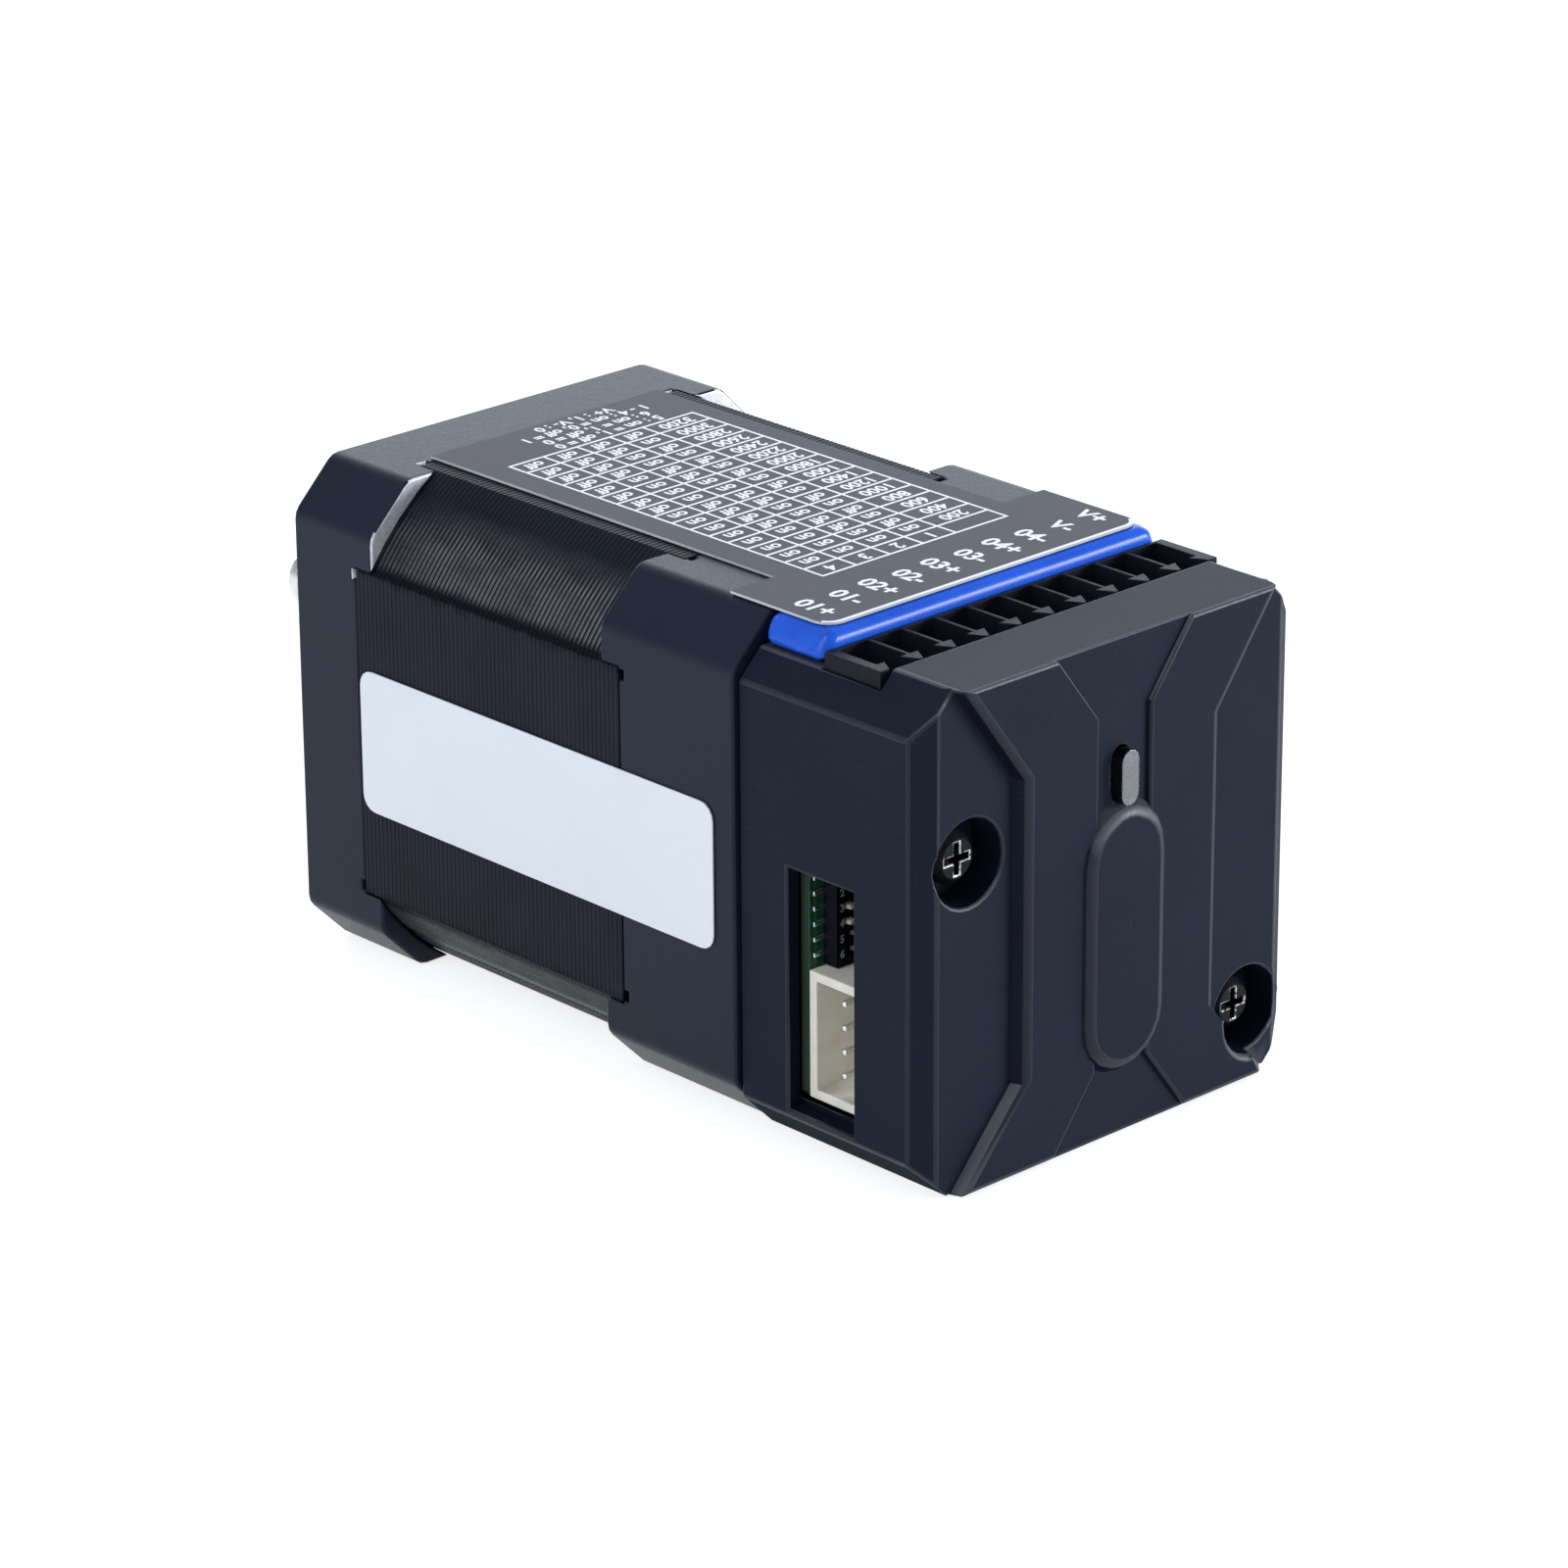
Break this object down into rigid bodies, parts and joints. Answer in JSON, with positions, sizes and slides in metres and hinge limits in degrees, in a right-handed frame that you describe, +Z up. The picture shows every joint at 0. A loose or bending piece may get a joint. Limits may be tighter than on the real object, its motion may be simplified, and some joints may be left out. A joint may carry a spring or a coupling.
{
  "type": "integrated stepper motor",
  "caption": "Square stepper motor with a closed-loop driver module on its back: toothed rotor, ball bearings, terminal header, switches and side connector.",
  "frame": {"origin": "on the surface it lies on, below the middle of its bounding box", "axes": "+Y along the shaft from the driver's back to the shaft's tip, +Z up, through the terminals"},
  "size_m": [0.0426, 0.0986, 0.0426],
  "materials": {
    "black_paint": "satin black paint on cast aluminium",
    "dark_laminations": "black-coated stacked laminations",
    "black_plastic": "fine matt moulded plastic",
    "bright_steel": "ground steel",
    "grey_steel": "bare silicon steel",
    "black_steel": "black-oxide steel",
    "magnet_grey": "nickel-plated magnet",
    "copper": "enamelled copper winding",
    "white_nylon": "white nylon",
    "cage_brass": "pressed cage and balls",
    "solder_mask": "green solder mask",
    "chip_black": "black moulding compound",
    "can_aluminium": "drawn aluminium can",
    "lead_insulation": "wire insulation",
    "ivory_nylon": "ivory nylon",
    "blue_plastic": "blue moulded plastic",
    "clear_plastic": "clear light pipe",
    "label_black": "printed black label sheet",
    "label_white": "white label sheet"
  },
  "bodies": {
    "motor": {"front_end_cap": "black_paint", "stator_stack": "dark_laminations", "rear_end_cap": "black_paint", "front_insulator": "white_nylon", "rear_insulator": "white_nylon", "coil_1": "copper", "coil_2": "copper", "coil_3": "copper", "coil_4": "copper", "coil_5": "copper", "coil_6": "copper", "coil_7": "copper", "coil_8": "copper", "front_bearing_outer_ring": "bright_steel", "rear_bearing_outer_ring": "bright_steel", "wave_washer": "bright_steel", "motor_screw_1": "black_steel", "motor_screw_2": "black_steel", "motor_screw_3": "black_steel", "standoff_screw": "bright_steel", "board_standoff": "bright_steel", "housing_screw_1": "black_steel", "housing_screw_2": "black_steel", "encoder_chip": "chip_black", "driver_housing": "black_plastic", "light_pipe": "clear_plastic", "driver_board": "solder_mask", "microcontroller": "chip_black", "motor_driver_chip": "chip_black", "status_led": "white_nylon", "bulk_capacitor": "can_aluminium", "phase_lead_1": "lead_insulation", "phase_lead_2": "lead_insulation", "phase_lead_3": "lead_insulation", "phase_lead_4": "lead_insulation", "terminal_header": "black_plastic", "terminal_bezel": "blue_plastic", "dip_switch_body": "chip_black", "comm_connector": "ivory_nylon", "top_label": "label_black", "side_label": "label_white"},
    "rotor": {"shaft": "bright_steel", "rotor_front_cup": "grey_steel", "rotor_magnet": "magnet_grey", "rotor_rear_cup": "grey_steel", "front_bearing_inner_ring": "bright_steel", "rear_bearing_inner_ring": "bright_steel", "magnet_holder": "white_nylon", "encoder_magnet": "magnet_grey"},
    "front_balls": {"front_bearing_balls": "cage_brass"},
    "rear_balls": {"rear_bearing_balls": "cage_brass"},
    "slider_1": {"dip_slider_1": "white_nylon"},
    "slider_2": {"dip_slider_2": "white_nylon"},
    "slider_3": {"dip_slider_3": "white_nylon"},
    "slider_4": {"dip_slider_4": "white_nylon"},
    "slider_5": {"dip_slider_5": "white_nylon"},
    "slider_6": {"dip_slider_6": "white_nylon"}
  },
  "joints": [
    {"name": "rotor_spin", "type": "hinge", "parent": "motor", "child": "rotor", "pos_m": [0, 0, 0.02115], "axis": [0, 1, 0], "continuous": true},
    {"name": "front_balls_spin", "type": "hinge", "parent": "motor", "child": "front_balls", "pos_m": [0, 0, 0.02115], "axis": [0, 1, 0], "continuous": true},
    {"name": "rear_balls_spin", "type": "hinge", "parent": "motor", "child": "rear_balls", "pos_m": [0, 0, 0.02115], "axis": [0, 1, 0], "continuous": true},
    {"name": "switch_1_slide", "type": "slide", "parent": "motor", "child": "slider_1", "axis": [1, 0, 0], "range_m": [-0.001, 0]},
    {"name": "switch_2_slide", "type": "slide", "parent": "motor", "child": "slider_2", "axis": [1, 0, 0], "range_m": [-0.001, 0]},
    {"name": "switch_3_slide", "type": "slide", "parent": "motor", "child": "slider_3", "axis": [1, 0, 0], "range_m": [0, 0.001]},
    {"name": "switch_4_slide", "type": "slide", "parent": "motor", "child": "slider_4", "axis": [1, 0, 0], "range_m": [0, 0.001]},
    {"name": "switch_5_slide", "type": "slide", "parent": "motor", "child": "slider_5", "axis": [1, 0, 0], "range_m": [-0.001, 0]},
    {"name": "switch_6_slide", "type": "slide", "parent": "motor", "child": "slider_6", "axis": [1, 0, 0], "range_m": [-0.001, 0]}
  ],
  "couplings": [
    {"joint": "front_balls_spin", "follows": "rotor_spin", "ratio": 0.387},
    {"joint": "rear_balls_spin", "follows": "rotor_spin", "ratio": 0.387}
  ]
}
